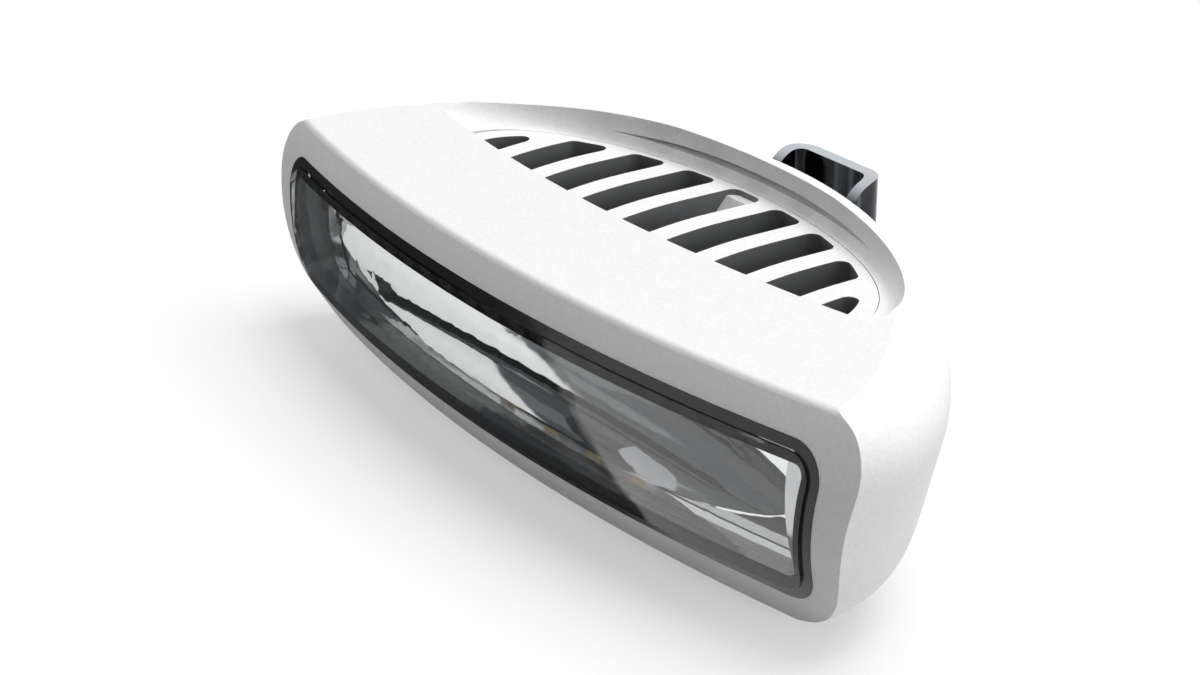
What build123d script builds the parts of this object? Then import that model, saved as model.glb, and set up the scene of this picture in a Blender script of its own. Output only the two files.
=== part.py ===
from build123d import *
import math
import os

os.makedirs("parts", exist_ok=True)

# Driving dimensions, in millimetres
# The origin is the centre of the bracket's mounting hole, on the back face of its plate
FACE_Y = -81.3          # front face of the lamp, at its middle
MID_Z = -11.0           # middle height of the lens opening
R_PLAN = 400.0          # plan radius of the bowed front
BOW = 0.01307           # vertical bow of the front, y = BOW z^2 + LEAN z
LEAN = -0.061
BEZEL_TOP = 19.7
CREST = 1.5             # radius where the front turns into the top
BEZEL_BOT = -20.2
TOP_MID = 25.0
TOP_BACK = 24.6
FACET_Z = -13.5         # the lower strip breaks back from here
FACET_Y = 7.0
WALL = 3.0
PLAN_Y = 14.0           # centre of the elliptical back
SIDE_MID = 88.4         # half width of the side walls at middle height
SIDE_DRAFT = 0.2
BACK_MID = 46.8         # depth of the elliptical back at middle height
BACK_DRAFT = 0.32
SIDE_ROUND = 12.0
SIDE_LOW_ROUND = 13.0
BACK_ROUND = 4.0
BACK_LOW_ROUND = 15.0
section_heights = (-21, -19.6, -17.5, -15, -11.5, -6, 0, 6, 11, 15, 17.5, 19.4, 21.5, 23.5, 25.0, 26.6)
BASE_SPLIT = -16.2      # joint between shell and base plate
GAP = 0.3

# Lens opening, measured from the middle of the front
OPEN_W = 83.3
OPEN_H = 14.0
OPEN_LEAN = 0.103
LENS_EDGE = 1.8         # rubber shown around the lens
LENS_FLANGE = 1.3

# Vent recess and fins
LIP_Y = 27.7            # sharp front edge of the recess
RIM_A = 65.8            # half length of the recess at its top
RIM_B = 27.2
RIM_Y = 34.0            # centre of the half ellipses behind
RIM_Z = 26.2            # height at which the cove would stand upright
FLOOR_Z = 19.5          # flat ring round the fins
SLOT_PITCH = 13.0
SLOT_W = 8.19
SLOT_A = 54.5
SLOT_B = 25.0
SLOT_ROUND = 1.8
SLOT_COUNT = 9
SLOT_STEP = 12.0        # below this the slots draw in with the rear wall
CORE_A = 58.8           # outline of the fin block, inside the cove's foot
CORE_B = 26.0
CORE_GAP = 0.15
FIN_FLAT_Y = 47.0       # the fins' tops fall away in front of this
FIN_R = 110.0
PLATE_Y = 24.0          # front of the heat sink's plate
PLATE_T = 4.0
PLATE_W = 71.0
BOARD_Y = 22.0
REFLECTOR_W = 72.0
BOWL_Y = 10.0

# Tilt bracket
STRAP_T = 2.6
STRAP_W = 25.4
STRAP_TOP = 22.0
PIVOT_Y = 70.0
PIVOT_Z = -10.0
ARM_R = 8.0
BOLT_R = 4.0
BUSH_R = 5.6
BUSH_FLANGE = 0.8
LUG_R = 7.0
LUG_W = 9.0             # half width of the pivot lug
WASHER_T = 1.6
NUT_R = 7.5
MOUNT_R = 5.25

# Screws that hold the base plate and the heat sink
SCREW_R = 1.25
SCREW_CLEAR = 0.2
HEAD_R = 2.8
HEAD_T = 1.6
HEAD_ROOM = 0.3         # between a head and the wall of its seat
SOCKET_DEEP = 1.1
REAR_SEAT = 62.8
BASE_SEAT = 1.7         # depth of the head seats in the base plate
base_spots = [(-19.5, 33.5), (19.5, 33.5), (-45.5, 31.5), (45.5, 31.5)]
rear_spots = [(-6.5, 10), (6.5, 10)]

# Light board
BOARD_T = 1.6
BOARD_W = 58.0
BOARD_LOW = -8.5
BOARD_HIGH = 9.0
BOARD_SCREW_R = 1.2
BOARD_HOLE_R = 1.35
LED_PITCH = 14.0
LED_COUNT = 4
board_screw_spots = [(-50, -6), (50, -6), (-50, 6), (50, 6)]

# Driver on the back of the heat sink's plate, in the right end of the body
DRIVER_SPOT = (65.3, 1.5)
DRIVER_W = 9.6
DRIVER_H = 18.0
TRAY_T = 0.8            # floor of the tray

# Cable gland and vent plug
GLAND_X = -64.0
GLAND_BACK = 47.2
GLAND_Z = 4.0
GLAND_R = 6.0
VENT_R = 2.6
VENT_SPOT = (-40.0, 18.2)

SPIN = Plane(origin=(0, FACE_Y + R_PLAN, MID_Z), x_dir=(0, 1, 0), z_dir=(1, 0, 0))
SPIN_AXIS = Axis((0, FACE_Y + R_PLAN, MID_Z), (0, 0, 1))
TOP = Plane(origin=(0, FACE_Y, MID_Z), x_dir=(1, 0, 0), z_dir=(0, 0, 1))
FRONT = Plane(origin=(0, FACE_Y, MID_Z), x_dir=(1, 0, 0), z_dir=(0, -1, 0))
SIDE = Plane(origin=(0, FACE_Y, MID_Z), x_dir=(0, 1, 0), z_dir=(1, 0, 0))
GLAND = Plane(
    origin=(GLAND_X, FACE_Y + GLAND_BACK, MID_Z + GLAND_Z),
    x_dir=(0, 0, 1),
    z_dir=(-0.4827, 0.8758, 0),
)
PIVOT = Plane(origin=(0, FACE_Y + PIVOT_Y, MID_Z + PIVOT_Z), x_dir=(0, 1, 0), z_dir=(1, 0, 0))


# Depth of the bowed front at a height
def bow(z):
    return LEAN * z + BOW * z * z


# How far a rounded edge draws in, at a depth past its tangent point, then on along a slope
def draw_in(depth, r):
    limit = 0.94 * r
    if depth <= 0:
        return 0.0
    if depth < limit:
        return r - (r * r - depth * depth) ** 0.5
    return r - (r * r - limit * limit) ** 0.5 + (depth - limit) * 2.76


# Plan section of the body at a height, shrunk by t
def plan_section(z, t):
    a = SIDE_MID + SIDE_DRAFT * z - t
    a -= draw_in(z - (BEZEL_TOP - SIDE_ROUND), SIDE_ROUND - t)
    a -= draw_in(BEZEL_BOT + SIDE_LOW_ROUND - z, SIDE_LOW_ROUND - t)
    b = BACK_MID + BACK_DRAFT * z - t
    b -= draw_in(z - (TOP_BACK - BACK_ROUND), BACK_ROUND - t)
    b -= draw_in(BEZEL_BOT + BACK_LOW_ROUND - z, BACK_LOW_ROUND - t)
    with BuildSketch(TOP.offset(z)) as made:
        with BuildLine():
            EllipticalCenterArc((0, PLAN_Y), a, b, start_angle=0, arc_size=180)
            Polyline((-a, PLAN_Y), (-a, -12), (a, -12), (a, PLAN_Y))
        make_face()
    return made.sketch


# Outer body, or the same body shrunk by t all round
def body(t, low, facet):
    front = [(R_PLAN - bow(z) - t, z) for z in (-7, 0, 7, 14, BEZEL_TOP - t * 0.9)]
    if facet:
        front.insert(0, (R_PLAN - bow(FACET_Z) - t, FACET_Z))
        foot = (R_PLAN - FACET_Y - t, low)
    else:
        front.insert(0, (R_PLAN - bow(low) - t, low))
        foot = (R_PLAN - bow(low) - t - 0.5, low)
    with BuildPart() as shape:
        with BuildSketch(SPIN):
            with BuildLine():
                Spline(*front)
                Spline(
                    front[-1],
                    (R_PLAN - LIP_Y, 22.7 - t),
                    (R_PLAN - 46, TOP_MID - t),
                    (R_PLAN - 78, TOP_BACK - t),
                )
                Polyline((R_PLAN - 78, TOP_BACK - t), (R_PLAN - 78, low), foot, front[0])
            made = make_face()
            if facet:
                fillet(made.vertices().sort_by(Axis.Y)[-2], CREST)
        revolve(axis=SPIN_AXIS)
        loft([plan_section(z, t) for z in section_heights], mode=Mode.INTERSECT)
    return shape.part


# Lens opening outline grown by g, pushed through the front
def port(g):
    with BuildPart() as shape:
        with BuildSketch(FRONT):
            with BuildLine():
                w_hi = OPEN_W + OPEN_LEAN * (OPEN_H - 8)
                w_lo = OPEN_W - OPEN_LEAN * (OPEN_H + 8)
                Polyline((-w_hi, OPEN_H), (w_hi, OPEN_H), (w_lo, -OPEN_H), (-w_lo, -OPEN_H), close=True)
            made = make_face()
            fillet(made.vertices().group_by(Axis.Z)[-1], 6.2)
            fillet(made.vertices().group_by(Axis.Z)[0], 5.5)
            if g:
                offset(amount=g, mode=Mode.REPLACE)
        extrude(amount=26, both=True)
    return shape.part


# Curved sheet that follows the bowed front, between two depths
def sheet(near, far):
    with BuildPart() as shape:
        with BuildSketch(SPIN):
            with BuildLine():
                Spline(*[(R_PLAN - bow(z) - near, z) for z in (-19, -12, -6, 0, 6, 12, 19)])
                Spline(*[(R_PLAN - bow(z) - far, z) for z in (-19, -12, -6, 0, 6, 12, 19)])
                Line((R_PLAN - bow(19) - near, 19), (R_PLAN - bow(19) - far, 19))
                Line((R_PLAN - bow(-19) - near, -19), (R_PLAN - bow(-19) - far, -19))
            make_face()
        revolve(axis=SPIN_AXIS)
    return shape.part


# Vent recess outline: arc parallel to the lip in front, half ellipse behind
def recess_outline(a, b, lip):
    near = R_PLAN - lip
    reach = R_PLAN - (near * near - a * a) ** 0.5
    ThreePointArc((-a, reach), (0, lip), (a, reach))
    Line((a, reach), (a, RIM_Y))
    EllipticalCenterArc((0, RIM_Y), a, b, start_angle=0, arc_size=180)
    Line((-a, RIM_Y), (-a, reach))


# The same outline filled in at one level
def recess_face(level, a, b, lip):
    with BuildSketch(TOP.offset(level)) as made:
        with BuildLine():
            recess_outline(a, b, lip)
        make_face()
    return made.sketch


# One level of the cove, a quarter ellipse that starts flat at the floor and ends upright
def cove_face(angle):
    out = math.sin(math.radians(angle))
    rise = 1 - math.cos(math.radians(angle))
    foot_a = CORE_A + CORE_GAP
    foot_b = CORE_B + CORE_GAP
    level = FLOOR_Z + rise * (RIM_Z - FLOOR_Z)
    return recess_face(level, foot_a + out * (RIM_A - foot_a), foot_b + out * (RIM_B - foot_b), LIP_Y)


# Upright block between two depths behind the front, across the lamp
def slab(near, far, half_w, low, high, round_r):
    with BuildPart() as shape:
        with BuildSketch(FRONT.offset(-near)):
            with Locations((0, (low + high) / 2)):
                RectangleRounded(2 * half_w, high - low, round_r)
        extrude(amount=near - far)
    return shape.part


solid_body = body(0, BEZEL_BOT, True)
hollow = body(WALL, BASE_SPLIT, False)
core_room = body(WALL + GAP, BASE_SPLIT + GAP, False)
port_open = port(0)
port_lens = port(-LENS_EDGE)
port_flange = port(LENS_FLANGE)
port_seat = port(LENS_FLANGE - 0.6)
port_glass = port(-LENS_EDGE - 2.6)
port_trim = port(-LENS_EDGE - 4.2)

# Zone of the body that belongs to the base plate, behind the lower front strip
with BuildPart() as base_zone:
    with BuildSketch(SPIN):
        with Locations((R_PLAN - 35, BASE_SPLIT - 15)):
            Rectangle(50, 30)
    revolve(axis=SPIN_AXIS)

# The same zone with a fine joint around it, cleared from the shell
with BuildPart() as joint_zone:
    with BuildSketch(SPIN):
        with Locations((R_PLAN - 35, BASE_SPLIT - 15 + 0.1)):
            Rectangle(50.2, 30)
    revolve(axis=SPIN_AXIS)

# Vent recess: its cove, and the throat below that the fin block stands in
with BuildPart() as recess:
    loft([cove_face(angle) for angle in (0, 15, 30, 45, 60, 75, 90)])
    add(recess_face(FLOOR_Z - 6, CORE_A + CORE_GAP, CORE_B + CORE_GAP, LIP_Y))
    extrude(amount=6)

# Collar under the rim, merged with the rear wall
with BuildPart() as collar:
    add(recess_face(FLOOR_Z - 3, RIM_A, RIM_B + 4, LIP_Y + 0.35))
    extrude(amount=5)
    add(solid_body, mode=Mode.INTERSECT)

# Frame inside the shell that the optical chamber seals against
with BuildPart() as seal_frame:
    add(slab(21, 22.6, 90, -25, 25, 1))
    add(hollow, mode=Mode.INTERSECT)
    add(slab(19, 23, 66.5, -12.5, 15.3, 3), mode=Mode.SUBTRACT)

# Outer shell: bezel, top with its recess, sides, rear wall and pivot lug in one casting
with BuildPart() as outer_shell:
    add(solid_body)
    with BuildSketch(SIDE):
        Polygon(
            (50, 3),
            (63, -1.6),
            (PIVOT_Y, PIVOT_Z + LUG_R),
            (PIVOT_Y, PIVOT_Z - LUG_R),
            (64, -15.6),
            (50, -15.6),
            align=None,
        )
    extrude(amount=LUG_W, both=True)
    with BuildSketch(PIVOT):
        Circle(LUG_R)
    extrude(amount=LUG_W, both=True)
    add(hollow, mode=Mode.SUBTRACT)
    add(joint_zone.part, mode=Mode.SUBTRACT)
    # Tapped and spot-faced boss for the cable gland
    with BuildSketch(GLAND.offset(-5)):
        Circle(GLAND_R + 2.5)
    extrude(amount=6.2)
    with BuildSketch(GLAND.offset(-6)):
        Circle(GLAND_R)
    extrude(amount=9, mode=Mode.SUBTRACT)
    with BuildSketch(GLAND.offset(1.2)):
        Circle(10.7)
    extrude(amount=7, mode=Mode.SUBTRACT)
    add(collar.part)
    add(recess.part, mode=Mode.SUBTRACT)
    add(port_open, mode=Mode.SUBTRACT)
    add(seal_frame.part)
    # Holes and seats for the two rear screws, between the bracket's arms
    with BuildSketch(FRONT.offset(-REAR_SEAT)):
        with Locations(*rear_spots):
            Circle(HEAD_R + HEAD_ROOM)
    extrude(amount=-5, mode=Mode.SUBTRACT)
    with BuildSketch(FRONT.offset(-REAR_SEAT)):
        with Locations(*rear_spots):
            Circle(SCREW_R + SCREW_CLEAR)
    extrude(amount=4, mode=Mode.SUBTRACT)
    with BuildSketch(PIVOT):
        Circle(BUSH_R)
    extrude(amount=LUG_W, both=True, mode=Mode.SUBTRACT)
outer_shell.part.label = "outer_shell"
export_step(outer_shell.part, "parts/outer_shell.step")

# Upright prism over a recess outline
def recess_block(level, a, b, lip, tall):
    with BuildPart() as shape:
        add(recess_face(level, a, b, lip))
        extrude(amount=tall)
    return shape.part


# Lower slot outline, drawing in towards the base along the rounded back
slot_levels = [
    recess_face(SLOT_STEP, SLOT_A, SLOT_B, LIP_Y + 1),
    recess_face(8, SLOT_A, SLOT_B - 2.5, LIP_Y + 1),
    recess_face(-4, SLOT_A, SLOT_B - 5.5, LIP_Y + 1),
    recess_face(-11, SLOT_A, SLOT_B - 9.5, LIP_Y + 1),
    recess_face(BASE_SPLIT, SLOT_A - 8, SLOT_B - 17, LIP_Y + 1),
    recess_face(BASE_SPLIT - 6, SLOT_A - 8, SLOT_B - 20.5, LIP_Y + 1),
]
with BuildPart() as slot_zone:
    loft(slot_levels, ruled=True)

# Nine parallel slots trimmed by the recess ellipse, with rounded back corners above the step
with BuildPart() as slot_cut:
    with BuildSketch(TOP.offset(BASE_SPLIT - 6)):
        with Locations((0, 44)):
            with GridLocations(SLOT_PITCH, 1, SLOT_COUNT, 1):
                Rectangle(SLOT_W, 50)
    extrude(amount=60)
    add(slot_zone.part, mode=Mode.INTERSECT)
with BuildPart() as slot_tops:
    with BuildSketch(TOP.offset(SLOT_STEP)) as openings:
        with BuildLine():
            recess_outline(SLOT_A, SLOT_B, LIP_Y + 1)
        make_face()
        with Locations((0, 44)):
            with GridLocations(SLOT_PITCH, 1, SLOT_COUNT + 1, 1):
                Rectangle(SLOT_PITCH - SLOT_W, 50, mode=Mode.SUBTRACT)
        fillet(openings.vertices().filter_by(lambda v: v.Y > RIM_Y + 6), SLOT_ROUND)
    extrude(amount=20)

base_slot_zone = recess_block(BEZEL_BOT - 2, SLOT_A - 10, SLOT_B - 20.5, LIP_Y + 1, 8)

# Shorter, narrower slots for the base plate
with BuildPart() as base_cut:
    with BuildSketch(TOP.offset(BEZEL_BOT - 2)):
        with Locations((0, 44)):
            with GridLocations(SLOT_PITCH, 1, SLOT_COUNT, 1):
                Rectangle(SLOT_W - 2, 50)
    extrude(amount=8)
    add(base_slot_zone, mode=Mode.INTERSECT)

# Heat sink: sealed front plate that carries the light board, with upright fins behind it
with BuildPart() as heat_sink:
    add(recess_face(BASE_SPLIT, CORE_A, CORE_B, LIP_Y - 1.7))
    extrude(amount=FLOOR_Z - BASE_SPLIT)
    add(slab(PLATE_Y, PLATE_Y + PLATE_T, PLATE_W, BASE_SPLIT - 2, 25, 2))
    add(slab(PLATE_Y, 30.5, 50, BASE_SPLIT, FLOOR_Z - 4, 1))
    # Rear pad that the two rear screws pull against the shell's wall
    add(slab(RIM_Y + CORE_B - 2, REAR_SEAT - 2.2, 9, 4, FLOOR_Z - 3.5, 1))
    add(slot_cut.part, mode=Mode.SUBTRACT)
    add(slot_tops.part, mode=Mode.SUBTRACT)
    # Sloping boss at the back of the middle slot, above the pivot lug
    boss_back = RIM_Y + CORE_B
    boss_top = FLOOR_Z - 1.1
    with BuildSketch(SIDE):
        Polygon(
            (44, BASE_SPLIT + 1),
            (boss_back, BASE_SPLIT + 10),
            (boss_back, boss_top),
            (boss_back - 3, boss_top),
            (44, 4),
            align=None,
        )
    extrude(amount=SLOT_W / 2, both=True)
    add(core_room, mode=Mode.INTERSECT)
    # The fins' tops fall away towards the front in a shallow arc
    fall = math.degrees(math.asin((FIN_FLAT_Y - LIP_Y) / FIN_R))
    with BuildSketch(SIDE):
        with BuildLine():
            top_arc = CenterArc((FIN_FLAT_Y, FLOOR_Z - FIN_R), FIN_R, 90, fall)
            Polyline(top_arc @ 1, (LIP_Y, FLOOR_Z + 2), (FIN_FLAT_Y, FLOOR_Z + 2), top_arc @ 0)
        make_face()
    extrude(amount=CORE_A, both=True, mode=Mode.SUBTRACT)
    # Tapped holes for the base, rear and board screws
    with BuildSketch(TOP.offset(BASE_SPLIT)):
        with Locations(*base_spots):
            Circle(SCREW_R)
    extrude(amount=10, mode=Mode.SUBTRACT)
    with BuildSketch(FRONT.offset(-REAR_SEAT)):
        with Locations(*rear_spots):
            Circle(SCREW_R)
    extrude(amount=10.6, mode=Mode.SUBTRACT)
    with BuildSketch(FRONT.offset(-PLATE_Y)):
        with Locations(*board_screw_spots):
            Circle(BOARD_SCREW_R)
    extrude(amount=-3.2, mode=Mode.SUBTRACT)
heat_sink.part.label = "heat_sink"
export_step(heat_sink.part, "parts/heat_sink.step")

# Base plate closing the shell from below, with slots under the fins
with BuildPart() as base_plate:
    add(solid_body)
    add(base_zone.part, mode=Mode.INTERSECT)
    add(base_cut.part, mode=Mode.SUBTRACT)
    with BuildSketch(TOP.offset(BEZEL_BOT)):
        with Locations(*base_spots):
            Circle(SCREW_R + SCREW_CLEAR)
    extrude(amount=8, mode=Mode.SUBTRACT)
    with BuildSketch(TOP.offset(BEZEL_BOT)):
        with Locations(*base_spots):
            Circle(HEAD_R + HEAD_ROOM)
    extrude(amount=BASE_SEAT, mode=Mode.SUBTRACT)
    with BuildSketch(TOP.offset(BEZEL_BOT)):
        with Locations(VENT_SPOT):
            Circle(VENT_R)
    extrude(amount=8, mode=Mode.SUBTRACT)
base_plate.part.label = "base_plate"
export_step(base_plate.part, "parts/base_plate.step")

# Four socket screws from below, through the base plate into the fins
with BuildPart() as base_screws:
    with BuildSketch(TOP.offset(BEZEL_BOT + 0.1)):
        with Locations(*base_spots):
            Circle(HEAD_R)
    extrude(amount=HEAD_T)
    with BuildSketch(TOP.offset(BEZEL_BOT + BASE_SEAT)):
        with Locations(*base_spots):
            Circle(SCREW_R)
    extrude(amount=9.5)
    with BuildSketch(TOP.offset(BEZEL_BOT + 0.1)):
        with Locations(*base_spots):
            RegularPolygon(SCREW_R, 6)
    extrude(amount=SOCKET_DEEP, mode=Mode.SUBTRACT)
base_screws.part.label = "base_screws"
export_step(base_screws.part, "parts/base_screws.step")

# Two socket screws through the rear wall into the heat sink
with BuildPart() as rear_screws:
    with BuildSketch(FRONT.offset(-REAR_SEAT)):
        with Locations(*rear_spots):
            Circle(HEAD_R)
    extrude(amount=-HEAD_T)
    with BuildSketch(FRONT.offset(-REAR_SEAT)):
        with Locations(*rear_spots):
            Circle(SCREW_R)
    extrude(amount=10)
    with BuildSketch(FRONT.offset(-REAR_SEAT - HEAD_T)):
        with Locations(*rear_spots):
            RegularPolygon(SCREW_R, 6)
    extrude(amount=SOCKET_DEEP, mode=Mode.SUBTRACT)
rear_screws.part.label = "rear_screws"
export_step(rear_screws.part, "parts/rear_screws.step")

# Rubber seal between the frame in the shell and the heat sink's plate
with BuildPart() as chamber_seal:
    add(slab(22.6, PLATE_Y, 70.5, -15.4, 17.8, 4))
    add(slab(22, PLATE_Y + 1, 66.9, -12.9, 15.5, 3), mode=Mode.SUBTRACT)
    add(core_room, mode=Mode.INTERSECT)
chamber_seal.part.label = "chamber_seal"
export_step(chamber_seal.part, "parts/chamber_seal.step")

# Lens gasket: a lip around the lens and a flange behind the bezel
lip_sheet = sheet(-0.1, WALL + 0.5)
flange_sheet = sheet(WALL + 0.04, 4)
with BuildPart() as lens_gasket:
    add(lip_sheet)
    add(port_open, mode=Mode.INTERSECT)
    add(flange_sheet)
    add(port_flange, mode=Mode.INTERSECT)
    add(port_lens, mode=Mode.SUBTRACT)
lens_gasket.part.label = "lens_gasket"
export_step(lens_gasket.part, "parts/lens_gasket.step")

# Clear lens: raised front, hollow behind, with a flange
lens_front = sheet(-0.6, 6)
lens_hollow = sheet(1.9, 12)
lens_flange = sheet(4, 6)
with BuildPart() as lens:
    add(lens_front)
    add(port_lens, mode=Mode.INTERSECT)
    add(lens_flange)
    add(port_seat, mode=Mode.INTERSECT)
lens_blank = lens.part
with BuildPart() as lens_room:
    add(lens_hollow)
    add(port_glass, mode=Mode.INTERSECT)
with BuildPart() as lens:
    add(lens_blank)
    add(lens_room.part, mode=Mode.SUBTRACT)
lens.part.label = "lens"
export_step(lens.part, "parts/lens.step")

# Window in the trim frame, between the two end plates
with BuildPart() as window:
    add(slab(-10, 30, REFLECTOR_W, -20, 20, 1))
    add(port_glass, mode=Mode.INTERSECT)

# Dark trim frame behind the lens, with a plain plate at each end
trim_sheet = sheet(6, 7.6)
with BuildPart() as lens_frame:
    add(trim_sheet)
    add(port_seat, mode=Mode.INTERSECT)
    add(window.part, mode=Mode.SUBTRACT)
lens_frame.part.label = "lens_frame"
export_step(lens_frame.part, "parts/lens_frame.step")

# Spindle-shaped bowl across the lamp, half length a and radius b
def bowl(a, b):
    with BuildPart() as shape:
        with BuildSketch(TOP):
            with BuildLine():
                EllipticalCenterArc((0, BOWL_Y), a, b, start_angle=0, arc_size=180)
                Line((-a, BOWL_Y), (a, BOWL_Y))
            make_face()
        revolve(axis=Axis((0, FACE_Y + BOWL_Y, MID_Z), (1, 0, 0)))
    return shape.part


# Wide mirror bowl with a front flange and a window for the light sources
bowl_in = bowl(80, 11.2)
mirror_front = sheet(-40, 7.6)
with BuildPart() as mirror_wall:
    add(bowl(81.2, 12.4))
    add(mirror_front, mode=Mode.SUBTRACT)
    add(slab(BOARD_Y, 60, 90, -30, 30, 1), mode=Mode.SUBTRACT)
with BuildPart() as reflector:
    add(sheet(7.6, 8.6))
    add(port_lens, mode=Mode.INTERSECT)
    add(mirror_wall.part)
    add(bowl_in, mode=Mode.SUBTRACT)
    add(slab(15, 30, 27, -4.5, 4.5, 1), mode=Mode.SUBTRACT)
reflector.part.label = "reflector"
export_step(reflector.part, "parts/reflector.step")

# Shroud that hangs from the top of the mirror in front of the light sources
with BuildPart() as led_shroud:
    with BuildSketch(SIDE):
        Polygon((11.5, 14), (11.5, 5.2), (15.5, 3.0), (19, 5.6), (19, 14), align=None)
    extrude(amount=8, both=True)
    add(bowl_in, mode=Mode.INTERSECT)
led_shroud.part.label = "led_shroud"
export_step(led_shroud.part, "parts/led_shroud.step")

# Light board, thermal pad, light sources, connector and board screws
with BuildPart() as led_board:
    add(slab(BOARD_Y, BOARD_Y + BOARD_T, BOARD_W, BOARD_LOW, BOARD_HIGH, 2))
    with BuildSketch(FRONT.offset(-BOARD_Y)):
        with Locations(*board_screw_spots):
            Circle(BOARD_HOLE_R)
    extrude(amount=-2, mode=Mode.SUBTRACT)
led_board.part.label = "led_board"
export_step(led_board.part, "parts/led_board.step")

with BuildPart() as thermal_pad:
    add(slab(BOARD_Y + BOARD_T, PLATE_Y, BOARD_W, BOARD_LOW, BOARD_HIGH, 2))
    with BuildSketch(FRONT.offset(-BOARD_Y)):
        with Locations(*board_screw_spots):
            Circle(BOARD_HOLE_R)
    extrude(amount=-3, mode=Mode.SUBTRACT)
thermal_pad.part.label = "thermal_pad"
export_step(thermal_pad.part, "parts/thermal_pad.step")

with BuildPart() as led_emitters:
    with BuildSketch(FRONT.offset(-BOARD_Y)):
        with GridLocations(LED_PITCH, 1, LED_COUNT, 1):
            Rectangle(3.5, 3.5)
    extrude(amount=0.9)
    with BuildSketch(FRONT.offset(-BOARD_Y + 0.9)):
        with GridLocations(LED_PITCH, 1, LED_COUNT, 1):
            Circle(1.5)
    extrude(amount=0.8, taper=20)
led_emitters.part.label = "led_emitters"
export_step(led_emitters.part, "parts/led_emitters.step")

with BuildPart() as board_connector:
    with BuildSketch(FRONT.offset(-BOARD_Y)):
        with Locations((-55, 0)):
            Rectangle(4, 6)
    extrude(amount=1.9)
board_connector.part.label = "board_connector"
export_step(board_connector.part, "parts/board_connector.step")

with BuildPart() as board_screws:
    with BuildSketch(FRONT.offset(-BOARD_Y)):
        with Locations(*board_screw_spots):
            Circle(2.2)
    extrude(amount=1.5)
    with BuildSketch(FRONT.offset(-BOARD_Y)):
        with Locations(*board_screw_spots):
            Circle(BOARD_SCREW_R)
    extrude(amount=-5)
    with BuildSketch(FRONT.offset(-BOARD_Y + 1.5)):
        with Locations(*board_screw_spots):
            RegularPolygon(1.0, 6)
    extrude(amount=-0.9, mode=Mode.SUBTRACT)
board_screws.part.label = "board_screws"
export_step(board_screws.part, "parts/board_screws.step")

# Driver: a small board in a tray, with its inductor, capacitor and chips
DRIVER = FRONT.offset(-PLATE_Y - PLATE_T)
with BuildPart() as driver_tray:
    with BuildSketch(DRIVER):
        with Locations(DRIVER_SPOT):
            RectangleRounded(DRIVER_W, DRIVER_H, 1)
    extrude(amount=-3)
    with BuildSketch(DRIVER.offset(-TRAY_T)):
        with Locations(DRIVER_SPOT):
            Rectangle(DRIVER_W - 1.4, DRIVER_H - 1.4)
    extrude(amount=-3, mode=Mode.SUBTRACT)
driver_tray.part.label = "driver_tray"
export_step(driver_tray.part, "parts/driver_tray.step")

with BuildPart() as driver_board:
    with BuildSketch(DRIVER.offset(-TRAY_T)):
        with Locations(DRIVER_SPOT):
            Rectangle(DRIVER_W - 1.4, DRIVER_H - 1.4)
    extrude(amount=-1.2)
driver_board.part.label = "driver_board"
export_step(driver_board.part, "parts/driver_board.step")

with BuildPart() as driver_inductor:
    with BuildSketch(DRIVER.offset(-2)):
        with Locations((DRIVER_SPOT[0], DRIVER_SPOT[1] + 4.8)):
            RectangleRounded(6, 6, 1.2)
    extrude(amount=-3.2)
driver_inductor.part.label = "driver_inductor"
export_step(driver_inductor.part, "parts/driver_inductor.step")

with BuildPart() as driver_capacitor:
    with BuildSketch(DRIVER.offset(-2)):
        with Locations((DRIVER_SPOT[0], DRIVER_SPOT[1] - 1.4)):
            Circle(2.2)
    extrude(amount=-4)
driver_capacitor.part.label = "driver_capacitor"
export_step(driver_capacitor.part, "parts/driver_capacitor.step")

with BuildPart() as driver_chips:
    with BuildSketch(DRIVER.offset(-2)):
        with Locations(
            (DRIVER_SPOT[0] - 1.7, DRIVER_SPOT[1] - 5.8),
            (DRIVER_SPOT[0] + 2, DRIVER_SPOT[1] - 5.8),
        ):
            Rectangle(2.6, 3.6)
    extrude(amount=-1.2)
driver_chips.part.label = "driver_chips"
export_step(driver_chips.part, "parts/driver_chips.step")

# Cable gland: O-ring, body, rubber seal and cap
with BuildPart() as gland_oring:
    with BuildSketch(GLAND.offset(1.2)):
        Circle(GLAND_R + 2)
        Circle(GLAND_R, mode=Mode.SUBTRACT)
    extrude(amount=0.8)
gland_oring.part.label = "gland_oring"
export_step(gland_oring.part, "parts/gland_oring.step")

with BuildPart() as gland_body:
    with BuildSketch(GLAND.offset(-5)):
        Circle(GLAND_R)
    extrude(amount=7)
    with BuildSketch(GLAND.offset(2)):
        RegularPolygon(9.2, 6)
    extrude(amount=3.5)
    with BuildSketch(GLAND.offset(5.5)):
        Circle(GLAND_R)
    extrude(amount=5)
    with BuildSketch(GLAND.offset(-5)):
        Circle(3.2)
    extrude(amount=11, mode=Mode.SUBTRACT)
    with BuildSketch(GLAND.offset(6)):
        Circle(4.8)
    extrude(amount=5, mode=Mode.SUBTRACT)
gland_body.part.label = "gland_body"
export_step(gland_body.part, "parts/gland_body.step")

with BuildPart() as gland_seal:
    with BuildSketch(GLAND.offset(6)):
        Circle(4.8)
        Circle(2.8, mode=Mode.SUBTRACT)
    extrude(amount=4.5)
gland_seal.part.label = "gland_seal"
export_step(gland_seal.part, "parts/gland_seal.step")

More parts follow.
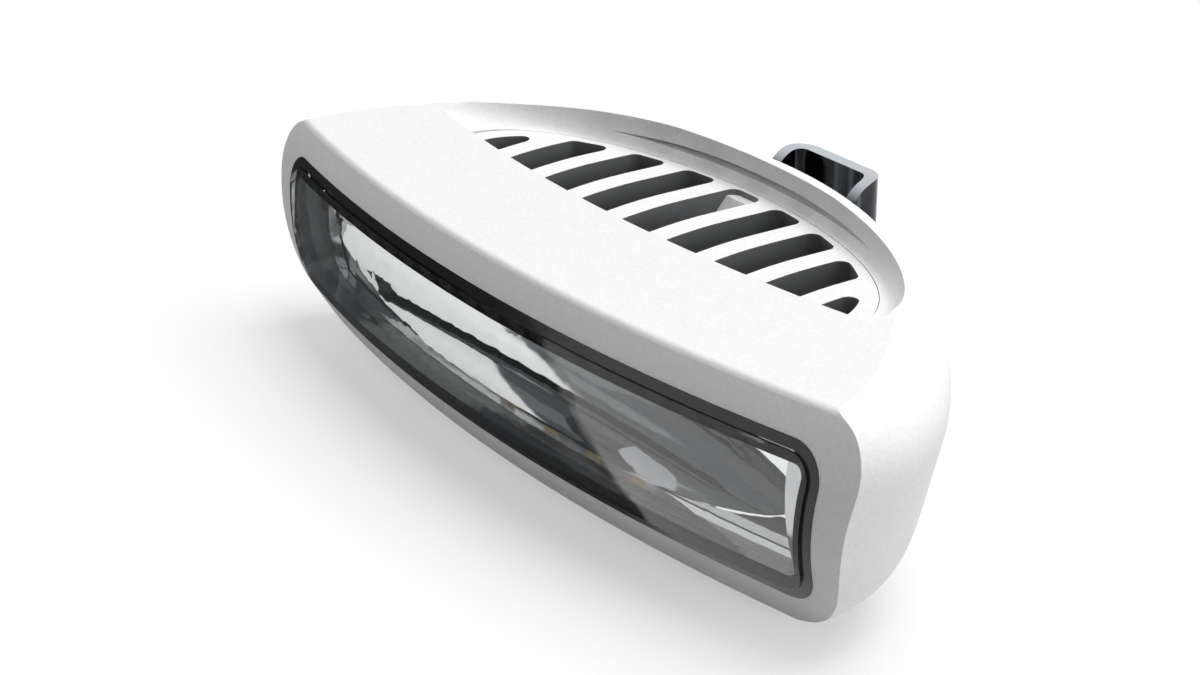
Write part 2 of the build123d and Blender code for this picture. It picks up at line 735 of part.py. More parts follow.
with BuildPart() as gland_cap:
    with BuildSketch(GLAND.offset(5.6)):
        RegularPolygon(8.6, 6)
    extrude(amount=6)
    with BuildSketch(GLAND.offset(11.6)):
        Circle(7)
    extrude(amount=2.4, taper=25)
    with BuildSketch(GLAND.offset(5.6)):
        Circle(GLAND_R)
    extrude(amount=4.9, mode=Mode.SUBTRACT)
    with BuildSketch(GLAND.offset(10)):
        Circle(3.4)
    extrude(amount=5, mode=Mode.SUBTRACT)
gland_cap.part.label = "gland_cap"
export_step(gland_cap.part, "parts/gland_cap.step")

# Breather plug in the base
with BuildPart() as vent_plug:
    with BuildSketch(TOP.offset(BEZEL_BOT)):
        with Locations(VENT_SPOT):
            Circle(VENT_R)
    extrude(amount=5.4)
    with BuildSketch(TOP.offset(BEZEL_BOT)):
        with Locations(VENT_SPOT):
            Circle(4.2)
    extrude(amount=-1.6, taper=12)
vent_plug.part.label = "vent_plug"
export_step(vent_plug.part, "parts/vent_plug.step")

# Pair of flanged bushes in the pivot lug
with BuildPart() as pivot_bushes:
    for side in (1, -1):
        with BuildSketch(PIVOT.offset(2 * side)):
            Circle(BUSH_R)
        extrude(amount=(LUG_W - 2) * side)
        with BuildSketch(PIVOT.offset(LUG_W * side)):
            Circle(BUSH_R + BUSH_FLANGE)
        extrude(amount=BUSH_FLANGE * side)
    with BuildSketch(PIVOT.offset(-12)):
        Circle(BOLT_R + 0.05)
    extrude(amount=24, mode=Mode.SUBTRACT)
pivot_bushes.part.label = "pivot_bushes"
export_step(pivot_bushes.part, "parts/pivot_bushes.step")

# Bracket: strap bent into a U, arms narrowed to the pivot
half = STRAP_W / 2
arm_front = -FACE_Y - 9.0   # front edge of the arms above the pivot
with BuildPart() as bracket:
    with BuildSketch(TOP.offset(PIVOT_Z - ARM_R)):
        with BuildLine():
            FilletPolyline((-half, 60), (-half, -FACE_Y), (half, -FACE_Y), (half, 60), radius=5)
            Line((half, 60), (half - STRAP_T, 60))
            FilletPolyline(
                (half - STRAP_T, 60),
                (half - STRAP_T, -FACE_Y - STRAP_T),
                (STRAP_T - half, -FACE_Y - STRAP_T),
                (STRAP_T - half, 60),
                radius=5 - STRAP_T,
            )
            Line((STRAP_T - half, 60), (-half, 60))
        make_face()
    extrude(amount=STRAP_TOP - PIVOT_Z + ARM_R)
    with BuildSketch(SIDE) as profile:
        with BuildLine():
            Polyline((-FACE_Y, STRAP_TOP), (-FACE_Y - 2, STRAP_TOP))
            RadiusArc((-FACE_Y - 2, STRAP_TOP), (arm_front, STRAP_TOP - 7), -7)
            Polyline(
                (arm_front, STRAP_TOP - 7),
                (arm_front, 6),
                (PIVOT_Y - 6.3, PIVOT_Z + 4.9),
                (PIVOT_Y, PIVOT_Z),
                (PIVOT_Y + 7.7, PIVOT_Z - 2.3),
                (-FACE_Y, 0),
                (-FACE_Y, STRAP_TOP),
            )
        make_face()
        with Locations((PIVOT_Y, PIVOT_Z)):
            Circle(ARM_R)
    extrude(amount=20, both=True, mode=Mode.INTERSECT)
    with BuildSketch(Plane.XZ):
        Circle(MOUNT_R)
    extrude(amount=6, both=True, mode=Mode.SUBTRACT)
    with BuildSketch(PIVOT):
        Circle(BOLT_R + 0.2)
    extrude(amount=20, both=True, mode=Mode.SUBTRACT)
bracket.part.label = "bracket"
export_step(bracket.part, "parts/bracket.step")

# Pivot bolt, its washers and the locking nut
with BuildPart() as pivot_bolt:
    with BuildSketch(PIVOT.offset(half + WASHER_T)):
        RegularPolygon(NUT_R, 6)
    extrude(amount=5.3)
    with BuildSketch(PIVOT.offset(half + WASHER_T)):
        Circle(BOLT_R)
    extrude(amount=-37.5)
pivot_bolt.part.label = "pivot_bolt"
export_step(pivot_bolt.part, "parts/pivot_bolt.step")

with BuildPart() as pivot_washers:
    for side in (1, -1):
        with BuildSketch(PIVOT.offset(half * side)):
            Circle(ARM_R)
            Circle(BOLT_R + 0.2, mode=Mode.SUBTRACT)
        extrude(amount=WASHER_T * side)
pivot_washers.part.label = "pivot_washers"
export_step(pivot_washers.part, "parts/pivot_washers.step")

with BuildPart() as lock_nut:
    with BuildSketch(PIVOT.offset(-half - WASHER_T)):
        RegularPolygon(NUT_R, 6)
    extrude(amount=-5.5)
    with BuildSketch(PIVOT.offset(-half - WASHER_T - 5.5)):
        Circle(6)
    extrude(amount=-2, taper=10)
    with BuildSketch(PIVOT.offset(-half)):
        Circle(BOLT_R)
    extrude(amount=-12, mode=Mode.SUBTRACT)
lock_nut.part.label = "lock_nut"
export_step(lock_nut.part, "parts/lock_nut.step")
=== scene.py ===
import math

import bpy
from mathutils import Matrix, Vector


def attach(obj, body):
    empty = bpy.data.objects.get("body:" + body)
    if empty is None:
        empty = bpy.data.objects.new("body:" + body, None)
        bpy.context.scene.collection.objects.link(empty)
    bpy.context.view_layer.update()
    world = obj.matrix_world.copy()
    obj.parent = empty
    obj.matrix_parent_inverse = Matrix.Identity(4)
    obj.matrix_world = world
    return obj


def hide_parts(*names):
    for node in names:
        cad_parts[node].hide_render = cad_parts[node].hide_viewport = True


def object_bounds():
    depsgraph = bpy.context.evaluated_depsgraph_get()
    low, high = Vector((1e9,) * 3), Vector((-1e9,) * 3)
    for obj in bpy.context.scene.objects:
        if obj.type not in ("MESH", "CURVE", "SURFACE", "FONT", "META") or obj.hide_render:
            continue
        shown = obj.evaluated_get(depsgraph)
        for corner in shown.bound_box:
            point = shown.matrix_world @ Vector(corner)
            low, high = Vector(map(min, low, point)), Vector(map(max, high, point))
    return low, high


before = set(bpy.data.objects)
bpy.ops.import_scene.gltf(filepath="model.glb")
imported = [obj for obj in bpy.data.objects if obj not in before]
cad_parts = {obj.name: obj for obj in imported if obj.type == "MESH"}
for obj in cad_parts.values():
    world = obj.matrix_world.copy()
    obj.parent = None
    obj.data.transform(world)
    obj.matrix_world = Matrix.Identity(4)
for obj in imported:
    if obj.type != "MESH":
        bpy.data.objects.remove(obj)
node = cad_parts
cad_low, cad_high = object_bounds()

# Camera at the photograph's place, in metres: high on the lamp's right, with a long lens.
# It looks straight along its own line of sight, with no roll.
EYE = Vector((0.35185, -0.29397, 0.16895))
EYE_AZIMUTH = math.radians(55.81)
EYE_HEIGHT = math.radians(23.04)
camera_data = bpy.data.cameras.new("camera")
camera_data.lens = 78
camera_data.sensor_width = 36
camera_data.clip_start = 0.01
camera = bpy.data.objects.new("camera", camera_data)
bpy.context.collection.objects.link(camera)
line_of_sight = Vector(
    (
        -math.sin(EYE_AZIMUTH) * math.cos(EYE_HEIGHT),
        math.cos(EYE_AZIMUTH) * math.cos(EYE_HEIGHT),
        -math.sin(EYE_HEIGHT),
    )
)
camera.location = EYE
camera.rotation_mode = "QUATERNION"
camera.rotation_quaternion = line_of_sight.to_track_quat("-Z", "Y")
bpy.context.scene.camera = camera

# Studio: a white floor just under the lamp, a white sky behind it and plain soft lamps.
# The camera sees pure white, the sky's own light stays low, and mirrors see one dark wall low
# down at the left front, with a slanting edge, which is what the right half of the mirror shows.
SKY_LIGHT = 0.12
DARK_WALL = 0.09
WALL_SLANT = 9.0
WALL_EDGE = 0.72
WALL_SIDE = 0.25
SLANT_BLUR = 0.03
SIDE_BLUR = 0.02
bpy.context.scene.view_settings.view_transform = "Standard"
world = bpy.data.worlds.new("studio")
bpy.context.scene.world = world
world.use_nodes = True
sky = world.node_tree
sky.nodes.clear()


def sky_node(kind, **settings):
    made = sky.nodes.new(kind)
    for key, value in settings.items():
        setattr(made, key, value)
    return made


def sky_glow(colour, strength):
    glow = sky_node("ShaderNodeBackground")
    glow.inputs["Color"].default_value = (*colour, 1)
    glow.inputs["Strength"].default_value = strength
    return glow


ray = sky_node("ShaderNodeLightPath")
toward = sky_node("ShaderNodeTexCoord")
across = sky_node("ShaderNodeVectorMath", operation="DOT_PRODUCT")
across.inputs[1].default_value = (-WALL_SLANT, 0, -1)
sky.links.new(toward.outputs["Generated"], across.inputs[0])
past_edge = sky_node("ShaderNodeMapRange")
past_edge.inputs["From Min"].default_value = WALL_SLANT * WALL_EDGE - SLANT_BLUR
past_edge.inputs["From Max"].default_value = WALL_SLANT * WALL_EDGE + SLANT_BLUR
sky.links.new(across.outputs["Value"], past_edge.inputs["Value"])
split = sky_node("ShaderNodeSeparateXYZ")
sky.links.new(toward.outputs["Generated"], split.inputs[0])
in_front = sky_node("ShaderNodeMapRange")
in_front.inputs["From Min"].default_value = WALL_SIDE + SIDE_BLUR
in_front.inputs["From Max"].default_value = WALL_SIDE - SIDE_BLUR
sky.links.new(split.outputs["Y"], in_front.inputs["Value"])
on_wall = sky_node("ShaderNodeMath", operation="MULTIPLY")
sky.links.new(past_edge.outputs["Result"], on_wall.inputs[0])
sky.links.new(in_front.outputs["Result"], on_wall.inputs[1])
mirrored = sky_node("ShaderNodeMixShader")
sky.links.new(on_wall.outputs[0], mirrored.inputs[0])
sky.links.new(sky_glow((1, 1, 1), 1).outputs[0], mirrored.inputs[1])
sky.links.new(sky_glow((0.9, 0.95, 1), DARK_WALL).outputs[0], mirrored.inputs[2])
by_mirror = sky_node("ShaderNodeMath", operation="MAXIMUM")
sky.links.new(ray.outputs["Is Glossy Ray"], by_mirror.inputs[0])
sky.links.new(ray.outputs["Is Transmission Ray"], by_mirror.inputs[1])
lit_or_mirrored = sky_node("ShaderNodeMixShader")
sky.links.new(by_mirror.outputs[0], lit_or_mirrored.inputs[0])
sky.links.new(sky_glow((1, 1, 1), SKY_LIGHT).outputs[0], lit_or_mirrored.inputs[1])
sky.links.new(mirrored.outputs[0], lit_or_mirrored.inputs[2])
seen = sky_node("ShaderNodeMixShader")
sky.links.new(ray.outputs["Is Camera Ray"], seen.inputs[0])
sky.links.new(lit_or_mirrored.outputs[0], seen.inputs[1])
sky.links.new(sky_glow((1, 1, 1), 1).outputs[0], seen.inputs[2])
sky_out = sky_node("ShaderNodeOutputWorld")
sky.links.new(seen.outputs[0], sky_out.inputs["Surface"])

# Floor: matt paper that takes the shadow near the lamp and runs out to plain white. The lamp's
# own surfaces see it as grey, so that they keep their shading, and from below it is clear, so
# that the underside can be looked at.
FLOOR_SIZE = 6.0
FLOOR_GAP = 0.0006
FLOOR_WHITE = 0.98
FLOOR_BOUNCE = 0.5
WHITE_FROM = 0.08
WHITE_BY = 0.18
SHADOW_LIFT = 0.45
bpy.ops.object.select_all(action="DESELECT")
bpy.ops.mesh.primitive_plane_add(size=FLOOR_SIZE, location=(0, 0, cad_low.z - FLOOR_GAP))
floor = bpy.context.object
floor.name = "studio_floor"
floor.visible_glossy = False
floor.visible_transmission = False
paper = bpy.data.materials.new("studio_paper")
paper.use_nodes = True
paper.node_tree.nodes.clear()
paper_nodes = paper.node_tree.nodes
paper_links = paper.node_tree.links
matt_seen = paper_nodes.new("ShaderNodeBsdfDiffuse")
matt_seen.inputs["Color"].default_value = (FLOOR_WHITE, FLOOR_WHITE, FLOOR_WHITE, 1)
matt_lit = paper_nodes.new("ShaderNodeBsdfDiffuse")
matt_lit.inputs["Color"].default_value = (FLOOR_BOUNCE, FLOOR_BOUNCE, FLOOR_BOUNCE, 1)
glow = paper_nodes.new("ShaderNodeEmission")
spot = paper_nodes.new("ShaderNodeTexCoord")
away = paper_nodes.new("ShaderNodeVectorMath")
away.operation = "LENGTH"
paper_links.new(spot.outputs["Object"], away.inputs[0])
whiten = paper_nodes.new("ShaderNodeMapRange")
whiten.interpolation_type = "SMOOTHSTEP"
whiten.inputs["From Min"].default_value = WHITE_FROM
whiten.inputs["From Max"].default_value = WHITE_BY
whiten.inputs["To Min"].default_value = SHADOW_LIFT
paper_links.new(away.outputs["Value"], whiten.inputs["Value"])
runs_out = paper_nodes.new("ShaderNodeMixShader")
paper_links.new(whiten.outputs["Result"], runs_out.inputs[0])
paper_links.new(matt_seen.outputs[0], runs_out.inputs[1])
paper_links.new(glow.outputs[0], runs_out.inputs[2])
paper_ray = paper_nodes.new("ShaderNodeLightPath")
paper_mix = paper_nodes.new("ShaderNodeMixShader")
paper_links.new(paper_ray.outputs["Is Camera Ray"], paper_mix.inputs[0])
paper_links.new(matt_lit.outputs[0], paper_mix.inputs[1])
paper_links.new(runs_out.outputs[0], paper_mix.inputs[2])
paper_side = paper_nodes.new("ShaderNodeNewGeometry")
clear_below = paper_nodes.new("ShaderNodeBsdfTransparent")
one_sided = paper_nodes.new("ShaderNodeMixShader")
paper_links.new(paper_side.outputs["Backfacing"], one_sided.inputs[0])
paper_links.new(paper_mix.outputs[0], one_sided.inputs[1])
paper_links.new(clear_below.outputs[0], one_sided.inputs[2])
paper_out = paper_nodes.new("ShaderNodeOutputMaterial")
paper_links.new(one_sided.outputs[0], paper_out.inputs["Surface"])
floor.data.materials.append(paper)


# Lamps: soft square ones that point at the middle of the object, and that mirrors don't show.
# The overhead one whitens the top, and the low ones at the sides shade the front and the right.
LAMP_AIM = Vector((0, -0.045, -0.01))


def soft_lamp(name, place, size, watts):
    data = bpy.data.lights.new(name, "AREA")
    data.shape = "SQUARE"
    data.size = size
    data.energy = watts
    lamp = bpy.data.objects.new(name, data)
    lamp.location = place
    lamp.rotation_euler = (LAMP_AIM - lamp.location).to_track_quat("-Z", "Y").to_euler()
    lamp.visible_glossy = False
    lamp.visible_transmission = False
    bpy.context.collection.objects.link(lamp)


soft_lamp("overhead", (0.1, 0.35, 1.15), 1.0, 17)
soft_lamp("right_side", (1.2, 0.2, 0.2), 0.6, 5)
soft_lamp("left_side", (-0.95, -0.45, 0.3), 0.6, 2.2)


# Shell and base plate: die-cast aluminium under white powder coat, closed by four screws below.
# The coat has a fine pebble in it that shows as speckle where light grazes the front.
COAT_WHITE = (0.9, 0.9, 0.9)
COAT_ROUGH = 0.5
COAT_GRAIN = 1500.0
COAT_MOTTLE = 0.06
COAT_PEBBLE = 0.00003
NOISE_LOW = 0.3
NOISE_HIGH = 0.7
BROAD_BY = 25


def surface(
    name, colour, rough, metal=0.0, grain=1200.0, mottle=0.08, uneven=0.06, relief=0.00002, **sockets
):
    """A finish whose tone and relief follow a fine grain, and its roughness a broader one."""
    made = bpy.data.materials.new(name)
    made.use_nodes = True
    nodes = made.node_tree.nodes
    links = made.node_tree.links
    shader = nodes["Principled BSDF"]
    place = nodes.new("ShaderNodeTexCoord")
    fine = nodes.new("ShaderNodeTexNoise")
    fine.inputs["Scale"].default_value = grain
    fine.inputs["Detail"].default_value = 3
    links.new(place.outputs["Object"], fine.inputs["Vector"])
    broad = nodes.new("ShaderNodeTexNoise")
    broad.inputs["Scale"].default_value = grain / BROAD_BY
    broad.inputs["Detail"].default_value = 2
    links.new(place.outputs["Object"], broad.inputs["Vector"])
    tone = nodes.new("ShaderNodeMapRange")
    tone.inputs["From Min"].default_value = NOISE_LOW
    tone.inputs["From Max"].default_value = NOISE_HIGH
    tone.inputs["To Min"].default_value = 1 - mottle
    tone.inputs["To Max"].default_value = 1 + mottle / 4
    links.new(fine.outputs["Fac"], tone.inputs["Value"])
    tint = nodes.new("ShaderNodeMix")
    tint.data_type = "RGBA"
    tint.blend_type = "MULTIPLY"
    tint.inputs[0].default_value = 1
    tint.inputs[6].default_value = (*colour, 1)
    links.new(tone.outputs["Result"], tint.inputs[7])
    links.new(tint.outputs[2], shader.inputs["Base Color"])
    polish = nodes.new("ShaderNodeMapRange")
    polish.inputs["From Min"].default_value = NOISE_LOW
    polish.inputs["From Max"].default_value = NOISE_HIGH
    polish.inputs["To Min"].default_value = max(rough - uneven, 0)
    polish.inputs["To Max"].default_value = rough + uneven
    links.new(broad.outputs["Fac"], polish.inputs["Value"])
    links.new(polish.outputs["Result"], shader.inputs["Roughness"])
    bump = nodes.new("ShaderNodeBump")
    bump.inputs["Strength"].default_value = 0.5
    bump.inputs["Distance"].default_value = relief
    links.new(fine.outputs["Fac"], bump.inputs["Height"])
    links.new(bump.outputs["Normal"], shader.inputs["Normal"])
    shader.inputs["Metallic"].default_value = metal
    for key, value in sockets.items():
        shader.inputs[key.replace("_", " ")].default_value = value
    return made


def finish(made, *names):
    """Gives carried-over nodes one finish all over."""
    for name in names:
        slots = node[name].data.materials
        if len(slots) == 0:
            slots.append(made)
        for i in range(len(slots)):
            slots[i] = made


powder_coat = surface(
    "white_powder_coat", COAT_WHITE, COAT_ROUGH, grain=COAT_GRAIN, mottle=COAT_MOTTLE, relief=COAT_PEBBLE
)
finish(powder_coat, "outer_shell", "base_plate")

# Heat sink: one aluminium casting whose fins stand in the shell's recess. Their tops are coated
# white with the shell; the slot walls carry painted shade, dark and darker the deeper, for the shadow in
# the slots.
# Painted shade: the slot walls' dark colour, and how much darker they turn with depth.
FIN_WALL_PAINTED_SHADE = (0.2, 0.205, 0.21)
TOP_FROM = 0.35
TOP_BY = 0.75
SLOT_TOP = 0.010
SLOT_DEEP = -0.014
DEEP_PAINTED_SHADE_SHARE = 0.25
fin_coat_painted_shade = surface(
    "fin_coat_painted_shade", COAT_WHITE, COAT_ROUGH, grain=COAT_GRAIN, mottle=COAT_MOTTLE, relief=COAT_PEBBLE
)
fin_nodes = fin_coat_painted_shade.node_tree.nodes
fin_links = fin_coat_painted_shade.node_tree.links
fin_shader = fin_nodes["Principled BSDF"]
coat_tone = fin_shader.inputs["Base Color"].links[0].from_socket
fin_place = fin_nodes.new("ShaderNodeTexCoord")
fin_facing = fin_nodes.new("ShaderNodeSeparateXYZ")
fin_links.new(fin_place.outputs["Normal"], fin_facing.inputs[0])
is_top = fin_nodes.new("ShaderNodeMapRange")
is_top.inputs["From Min"].default_value = TOP_FROM
is_top.inputs["From Max"].default_value = TOP_BY
fin_links.new(fin_facing.outputs["Z"], is_top.inputs["Value"])
fin_height = fin_nodes.new("ShaderNodeSeparateXYZ")
fin_links.new(fin_place.outputs["Object"], fin_height.inputs[0])
# Painted shade: the walls darken from the fin tops down into the slots.
shade = fin_nodes.new("ShaderNodeMapRange")
shade.inputs["From Min"].default_value = SLOT_DEEP
shade.inputs["From Max"].default_value = SLOT_TOP
shade.inputs["To Min"].default_value = DEEP_PAINTED_SHADE_SHARE
fin_links.new(fin_height.outputs["Z"], shade.inputs["Value"])
# The walls take the dark colour as painted shade for the shadow in the slots.
wall_painted_shade = fin_nodes.new("ShaderNodeMix")
wall_painted_shade.data_type = "RGBA"
wall_painted_shade.blend_type = "MULTIPLY"
wall_painted_shade.inputs[0].default_value = 1
wall_painted_shade.inputs[6].default_value = (*FIN_WALL_PAINTED_SHADE, 1)
fin_links.new(shade.outputs["Result"], wall_painted_shade.inputs[7])
top_or_wall = fin_nodes.new("ShaderNodeMix")
top_or_wall.data_type = "RGBA"
fin_links.new(is_top.outputs["Result"], top_or_wall.inputs[0])
fin_links.new(wall_painted_shade.outputs[2], top_or_wall.inputs[6])
fin_links.new(coat_tone, top_or_wall.inputs[7])
fin_links.new(top_or_wall.outputs[2], fin_shader.inputs["Base Color"])
finish(fin_coat_painted_shade, "heat_sink")

# Screws: zinc-plated steel with socket heads, four under the base plate and two at the rear that
# hold the heat sink, and four small ones on the light board. All are driven in from outside.
screw_steel = surface("screw_steel", (0.62, 0.62, 0.6), 0.28, 1.0, grain=2600, mottle=0.12, relief=0.000008)
finish(screw_steel, "base_screws", "rear_screws", "board_screws")

# Gasket and seals: moulded black rubber. The lens gasket is glossy and grips the lens in the
# bezel; the chamber seal, the gland's ring and its inner seal are the same rubber, out of sight.
RUBBER = (0.012, 0.012, 0.013)
gasket_rubber = surface("gasket_rubber", RUBBER, 0.16, grain=900, mottle=0.2, uneven=0.04, relief=0.000006)
seal_rubber = surface("seal_rubber", RUBBER, 0.5, grain=1400, mottle=0.25)
finish(gasket_rubber, "lens_gasket")
finish(seal_rubber, "chamber_seal", "gland_oring", "gland_seal")

# Lens: one clear moulding, hollow behind, held by its flange between the gasket and the frame.
# The plastic is faintly uneven, which shows only in its reflections.
lens_clear = surface(
    "lens_clear",
    (0.96, 0.97, 0.97),
    0.015,
    grain=300,
    mottle=0.01,
    uneven=0.01,
    relief=0.000002,
    Transmission_Weight=1.0,
    IOR=1.47,
)
finish(lens_clear, "lens")

# Trim frame: moulded plastic behind the lens under a thin metal coat, with a plain bare
# plate at each end. It is pressed in behind the lens and holds the mirror's flange.
trim_coat = surface(
    "trim_coat", (0.62, 0.62, 0.63), 0.12, 0.9, grain=1200, mottle=0.06, relief=0.000001
)
finish(trim_coat, "lens_frame")

# Mirror: one vacuum-coated plastic trough across the lamp, spindle shaped, with flat facets that
# fan out at both ends, a thin flange behind the trim frame and an opening for each light source.
MM = 0.001
FACE_Y = -81.3
MID_Z = -11.0
PLAN_R = 392.0
BOW = 0.01307
LEAN = -0.061
FLANGE_Y = 7.8
FLANGE_H = 12.0
TROUGH_A = 80.0
TROUGH_B = 11.2
TROUGH_Y = 10.0
MIRROR_W = 74.0
MIRROR_T = 0.9
FAN_FROM = 50.0
FAN_BY = 56.0
FAN_SIDES = 9
FLANGE_SHARE = 0.16
RIM_ROUNDS = 4
CREASE = math.radians(12)
COLUMNS = 260
ROWS = 90
SOURCE_PLACES = (-21.0, -7.0, 7.0, 21.0)
SOURCE_ROOM = 2.3


def flange_y(x, z):
    return FLANGE_Y + PLAN_R - math.sqrt(PLAN_R**2 - x**2) + BOW * z**2 + LEAN * z


def trough_point(x, row):
    """Place of the mirror at x, with row from -1 at its lower edge to 1 at its upper edge."""
    side = 1 if row >= 0 else -1
    radius = TROUGH_B * math.sqrt(max(1 - (x / TROUGH_A) ** 2, 0))
    rim = 0.0
    for _ in range(RIM_ROUNDS):
        reach = (flange_y(x, side * rim) - TROUGH_Y) / max(radius, 0.01)
        opening = math.acos(min(max(reach, -1), 1))
        rim = radius * math.sin(opening)
    inner = 1 - FLANGE_SHARE
    if abs(row) > inner:
        step = (abs(row) - inner) / FLANGE_SHARE
        z = side * (rim + (FLANGE_H - rim) * step)
        return z, flange_y(x, z)
    turn = abs(row) / inner * opening
    facet = math.pi / FAN_SIDES
    flat = math.cos(facet / 2) / math.cos((turn + facet / 2) % facet - facet / 2)
    fan = min(max((abs(x) - FAN_FROM) / (FAN_BY - FAN_FROM), 0), 1)
    reach = radius * (1 + (flat - 1) * fan)
    z = side * reach * math.sin(turn)
    return z, max(TROUGH_Y + reach * math.cos(turn), flange_y(x, z))


bpy.ops.object.select_all(action="DESELECT")
bpy.ops.mesh.primitive_grid_add(x_subdivisions=COLUMNS, y_subdivisions=ROWS, size=2)
mirror = bpy.context.object
mirror.name = "mirror_trough"
for vert in mirror.data.vertices:
    x = vert.co.x * MIRROR_W
    z, y = trough_point(x, vert.co.y)
    vert.co = Vector((x, FACE_Y + y, MID_Z + z)) * MM
for face in mirror.data.polygons:
    x, z = face.center.x / MM, face.center.z / MM - MID_Z
    near = min(abs(x - place) for place in SOURCE_PLACES)
    face.select = near < SOURCE_ROOM and abs(z) < SOURCE_ROOM
for edge in mirror.data.edges:
    edge.select = False
for vert in mirror.data.vertices:
    vert.select = False
bpy.ops.object.mode_set(mode="EDIT")
bpy.ops.mesh.select_mode(type="FACE")
bpy.ops.mesh.delete(type="FACE")
bpy.ops.object.mode_set(mode="OBJECT")
wall = mirror.modifiers.new("wall", "SOLIDIFY")
wall.thickness = MIRROR_T * MM
wall.offset = -1
bpy.ops.object.modifier_apply(modifier="wall")
bpy.ops.object.shade_smooth_by_angle(angle=CREASE)
mirror_coat = surface(
    "mirror_coat", (0.93, 0.93, 0.93), 0.03, 1.0, grain=250, mottle=0.03, uneven=0.015, relief=0.0
)
mirror.data.materials.append(mirror_coat)
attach(mirror, "head")
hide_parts("reflector")

# Hood over the light sources: a small faceted block under a darker metal coat, which hangs from
# the top of the mirror and throws the light back into it.
hood_coat = surface(
    "hood_coat", (0.42, 0.42, 0.43), 0.07, 1.0, grain=400, mottle=0.05, uneven=0.02, relief=0.000002
)
finish(hood_coat, "led_shroud")

# Light board: white solder mask with four domed yellow light sources, a connector at its left
# end and a grey thermal pad behind it. Four screws clamp it to the heat sink's plate.
board_white = surface("board_white", (0.82, 0.83, 0.82), 0.35, grain=3000, mottle=0.06, relief=0.00001)
phosphor = surface("phosphor_yellow", (0.86, 0.62, 0.1), 0.4, grain=5000, mottle=0.2, relief=0.00001)
connector_white = surface("connector_white", (0.8, 0.79, 0.74), 0.45, grain=2500, mottle=0.08)
pad_grey = surface("pad_grey", (0.36, 0.38, 0.4), 0.8, grain=2500, mottle=0.2, relief=0.00004)
finish(board_white, "led_board")
finish(phosphor, "led_emitters")
finish(connector_white, "board_connector")
finish(pad_grey, "thermal_pad")

# Driver: a green board in a dark tray on the back of the heat sink's plate, with its inductor,
# capacitor and two chips soldered on. The tray is potted to the plate.
tray_plastic = surface("tray_plastic", (0.03, 0.03, 0.03), 0.5, grain=2000, mottle=0.2)
board_green = surface("board_green", (0.02, 0.16, 0.06), 0.35, grain=2600, mottle=0.25, relief=0.00001)
inductor_grey = surface("inductor_grey", (0.12, 0.12, 0.125), 0.6, grain=3000, mottle=0.25, relief=0.00003)
capacitor_metal = surface("capacitor_metal", (0.7, 0.7, 0.72), 0.3, 1.0, grain=3000, mottle=0.1)
chip_black = surface("chip_black", (0.015, 0.015, 0.016), 0.55, grain=4000, mottle=0.3)
finish(tray_plastic, "driver_tray")
finish(board_green, "driver_board")
finish(inductor_grey, "driver_inductor")
finish(capacitor_metal, "driver_capacitor")
finish(chip_black, "driver_chips")

# Cable gland and breather: moulded black nylon. The gland screws into the rear left wall over
# its ring, and the breather presses into the base plate.
nylon_black = surface("nylon_black", (0.02, 0.02, 0.021), 0.42, grain=1800, mottle=0.2, relief=0.00003)
finish(nylon_black, "gland_body", "gland_cap", "vent_plug")

# Pivot: two grey flanged plastic bushes in the head's lug, with a plated steel bolt, two washers
# and a lock nut that clamp them between the bracket's arms.
bush_grey = surface("bush_grey", (0.3, 0.3, 0.31), 0.5, grain=2000, mottle=0.1)
finish(bush_grey, "pivot_bushes")
finish(screw_steel, "pivot_bolt", "pivot_washers", "lock_nut")

# Bracket: one bent strap of polished steel with a mounting hole. Its colour holds painted reflection:
# a dark tone and lighter upright streaks for the dark studio it mirrors, and a painted highlight on its cut
# edges.
# Painted reflection: the dark tone stands in for the dark studio mirrored in the faces, and the edge colour
# is a painted highlight.
STRAP_PAINTED_DARK_REFLECTION = (0.05, 0.053, 0.06)
STRAP_PAINTED_HIGHLIGHT = (0.5, 0.54, 0.57)
STREAK_GRAIN = 260
STREAK_STRETCH = 0.04
STREAK_PAINTED_REFLECTION = 0.35
strap_steel_painted_reflection = surface(
    "strap_steel_painted_reflection", STRAP_PAINTED_DARK_REFLECTION, 0.12, 1.0, grain=500, mottle=0.3, uneven=0.04, relief=0.000001
)
strap_nodes = strap_steel_painted_reflection.node_tree.nodes
strap_links = strap_steel_painted_reflection.node_tree.links
strap_shader = strap_nodes["Principled BSDF"]
strap_tone = strap_shader.inputs["Base Color"].links[0].from_socket
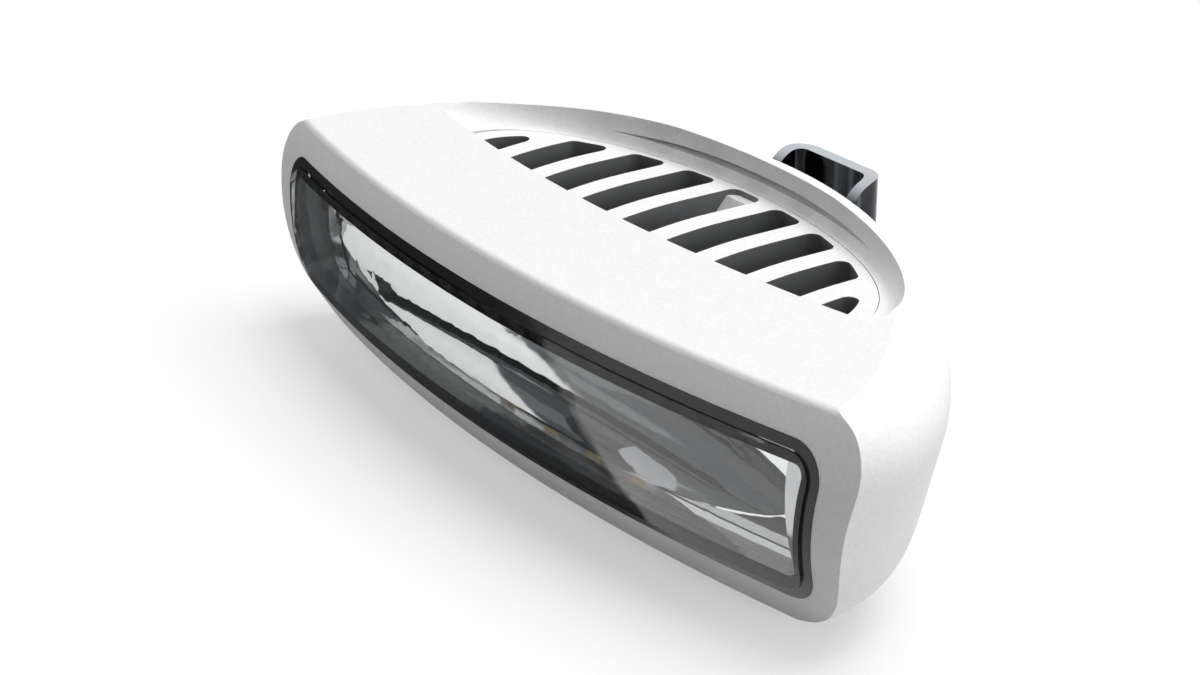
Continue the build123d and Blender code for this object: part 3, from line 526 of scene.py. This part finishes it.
strap_place = strap_nodes.new("ShaderNodeTexCoord")
strap_facing = strap_nodes.new("ShaderNodeSeparateXYZ")
strap_links.new(strap_place.outputs["Normal"], strap_facing.inputs[0])
upward = strap_nodes.new("ShaderNodeMath")
upward.operation = "ABSOLUTE"
strap_links.new(strap_facing.outputs["Z"], upward.inputs[0])
# Painted highlight: faces that look up or down, the cut edges, take the lighter colour.
edge_painted_highlight = strap_nodes.new("ShaderNodeMapRange")
edge_painted_highlight.inputs["From Min"].default_value = 0.5
edge_painted_highlight.inputs["From Max"].default_value = 0.9
strap_links.new(upward.outputs[0], edge_painted_highlight.inputs["Value"])
stretch = strap_nodes.new("ShaderNodeMapping")
stretch.inputs["Scale"].default_value = (1, 1, STREAK_STRETCH)
strap_links.new(strap_place.outputs["Object"], stretch.inputs["Vector"])
# Painted reflection: stretched noise lays lighter upright streaks into the colour.
streak = strap_nodes.new("ShaderNodeTexNoise")
streak.inputs["Scale"].default_value = STREAK_GRAIN
streak.inputs["Detail"].default_value = 2
strap_links.new(stretch.outputs[0], streak.inputs["Vector"])
painted_streak_share = strap_nodes.new("ShaderNodeMapRange")
painted_streak_share.inputs["From Min"].default_value = 0.55
painted_streak_share.inputs["From Max"].default_value = 0.72
painted_streak_share.inputs["To Max"].default_value = STREAK_PAINTED_REFLECTION
strap_links.new(streak.outputs["Fac"], painted_streak_share.inputs["Value"])
painted_light_share = strap_nodes.new("ShaderNodeMath")
painted_light_share.operation = "MAXIMUM"
strap_links.new(edge_painted_highlight.outputs["Result"], painted_light_share.inputs[0])
strap_links.new(painted_streak_share.outputs["Result"], painted_light_share.inputs[1])
strap_colour = strap_nodes.new("ShaderNodeMix")
strap_colour.data_type = "RGBA"
strap_links.new(painted_light_share.outputs[0], strap_colour.inputs[0])
strap_links.new(strap_tone, strap_colour.inputs[6])
strap_colour.inputs[7].default_value = (*STRAP_PAINTED_HIGHLIGHT, 1)
strap_links.new(strap_colour.outputs[2], strap_shader.inputs["Base Color"])
finish(strap_steel_painted_reflection, "bracket")
